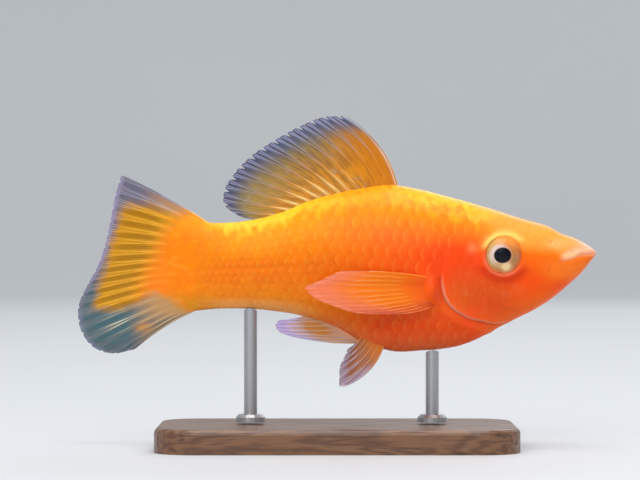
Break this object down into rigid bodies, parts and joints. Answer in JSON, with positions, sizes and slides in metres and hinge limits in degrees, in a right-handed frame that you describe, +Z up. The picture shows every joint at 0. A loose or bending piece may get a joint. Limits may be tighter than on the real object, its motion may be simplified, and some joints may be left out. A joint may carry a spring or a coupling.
{
  "type": "gold molly fish model",
  "caption": "Still, life-size model of a gold molly in a swimming pose with its fins spread, held over a flat wooden display base on slim steel rods.",
  "frame": {"origin": "centre of the part's box on the surface that the display base rests on", "axes": "+X along the fish towards its snout, +Y to the fish's left, +Z up"},
  "size_m": [0.075, 0.03, 0.0481],
  "materials": {
    "head_skin": "wet, satin orange skin",
    "jaw_skin": "wet, satin peach-orange skin",
    "gill_cover_skin": "wet, satin orange skin",
    "body_skin": "wet, satin gold-orange scales",
    "eye": "glossy, with a tan-gold iris and a dark pupil",
    "dorsal_fin": "thin amber membrane with a clear, pale margin",
    "tail_fin": "thin amber membrane with a clear, pale margin",
    "anal_fin": "thin orange-brown membrane with a pale tip",
    "pelvic_fin": "thin orange membrane with a pale edge",
    "pectoral_fin": "thin orange membrane with fine rays",
    "stand_wood": "dark oiled wood",
    "stand_steel": "brushed"
  },
  "bodies": {
    "root": {"head": "head_skin", "lower_jaw": "jaw_skin", "gill_cover_right": "gill_cover_skin", "gill_cover_left": "gill_cover_skin", "trunk": "body_skin", "tail_stalk": "body_skin", "eye_right": "eye", "eye_left": "eye", "dorsal_fin": "dorsal_fin", "tail_fin": "tail_fin", "anal_fin": "anal_fin", "pelvic_fin_right": "pelvic_fin", "pelvic_fin_left": "pelvic_fin", "pectoral_fin_right": "pectoral_fin", "pectoral_fin_left": "pectoral_fin", "stand_base": "stand_wood", "stand_rod_front": "stand_steel", "stand_rod_rear": "stand_steel"}
  },
  "joints": []
}
